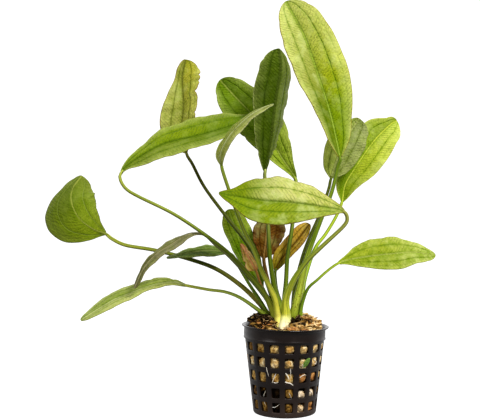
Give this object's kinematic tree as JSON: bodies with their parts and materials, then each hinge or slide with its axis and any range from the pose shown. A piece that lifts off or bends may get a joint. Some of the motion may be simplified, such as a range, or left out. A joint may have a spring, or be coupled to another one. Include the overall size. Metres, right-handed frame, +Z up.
{
  "type": "potted aquarium plant",
  "caption": "Broad-leaved aquarium plant with long arching stalks, growing from a mound of fibrous medium in a small black lattice net pot.",
  "frame": {"origin": "middle of the pot's underside, on the surface it stands on", "axes": "+Z up along the pot's axis, +X to the right and -Y towards the viewer of the pictured side"},
  "size_m": [0.2402, 0.0906, 0.2463],
  "materials": {
    "net_pot": "satin",
    "growing_medium": "matte",
    "root_crown": "satin",
    "window_leaflet": "satin",
    "leaf_tall_right": "satin",
    "stem_tall_right": "satin",
    "leaf_dark_upright": "satin",
    "stem_dark_upright": "satin",
    "leaf_behind_upright": "satin",
    "stem_behind_upright": "satin",
    "leaf_long_left": "satin",
    "stem_long_left": "satin",
    "leaf_folded_front": "satin",
    "stem_folded_front": "satin",
    "leaf_olive_back": "satin",
    "stem_olive_back": "satin",
    "leaf_round_far_left": "satin",
    "stem_round_far_left": "satin",
    "leaf_big_front": "satin",
    "stem_big_front": "satin",
    "leaf_broad_right": "satin",
    "stem_broad_right": "satin",
    "leaf_grey_right": "satin",
    "stem_grey_right": "satin",
    "leaf_low_right": "satin",
    "stem_low_right": "satin",
    "leaf_narrow_drooping": "satin",
    "stem_narrow_drooping": "satin",
    "leaf_small_left": "satin",
    "stem_small_left": "satin",
    "leaf_lowest_left": "satin",
    "stem_lowest_left": "satin",
    "leaf_green_behind": "satin",
    "stem_green_behind": "satin",
    "leaf_brown_middle": "satin",
    "stem_brown_middle": "satin",
    "leaf_golden_brown": "satin",
    "stem_golden_brown": "satin",
    "leaf_withered": "satin",
    "stem_withered": "satin"
  },
  "bodies": {
    "root": {"net_pot": "net_pot", "growing_medium": "growing_medium", "root_crown": "root_crown", "window_leaflet": "window_leaflet", "leaf_tall_right": "leaf_tall_right", "stem_tall_right": "stem_tall_right", "leaf_dark_upright": "leaf_dark_upright", "stem_dark_upright": "stem_dark_upright", "leaf_behind_upright": "leaf_behind_upright", "stem_behind_upright": "stem_behind_upright", "leaf_long_left": "leaf_long_left", "stem_long_left": "stem_long_left", "leaf_folded_front": "leaf_folded_front", "stem_folded_front": "stem_folded_front", "leaf_olive_back": "leaf_olive_back", "stem_olive_back": "stem_olive_back", "leaf_round_far_left": "leaf_round_far_left", "stem_round_far_left": "stem_round_far_left", "leaf_big_front": "leaf_big_front", "stem_big_front": "stem_big_front", "leaf_broad_right": "leaf_broad_right", "stem_broad_right": "stem_broad_right", "leaf_grey_right": "leaf_grey_right", "stem_grey_right": "stem_grey_right", "leaf_low_right": "leaf_low_right", "stem_low_right": "stem_low_right", "leaf_narrow_drooping": "leaf_narrow_drooping", "stem_narrow_drooping": "stem_narrow_drooping", "leaf_small_left": "leaf_small_left", "stem_small_left": "stem_small_left", "leaf_lowest_left": "leaf_lowest_left", "stem_lowest_left": "stem_lowest_left", "leaf_green_behind": "leaf_green_behind", "stem_green_behind": "stem_green_behind", "leaf_brown_middle": "leaf_brown_middle", "stem_brown_middle": "stem_brown_middle", "leaf_golden_brown": "leaf_golden_brown", "stem_golden_brown": "stem_golden_brown", "leaf_withered": "leaf_withered", "stem_withered": "stem_withered"}
  },
  "joints": []
}
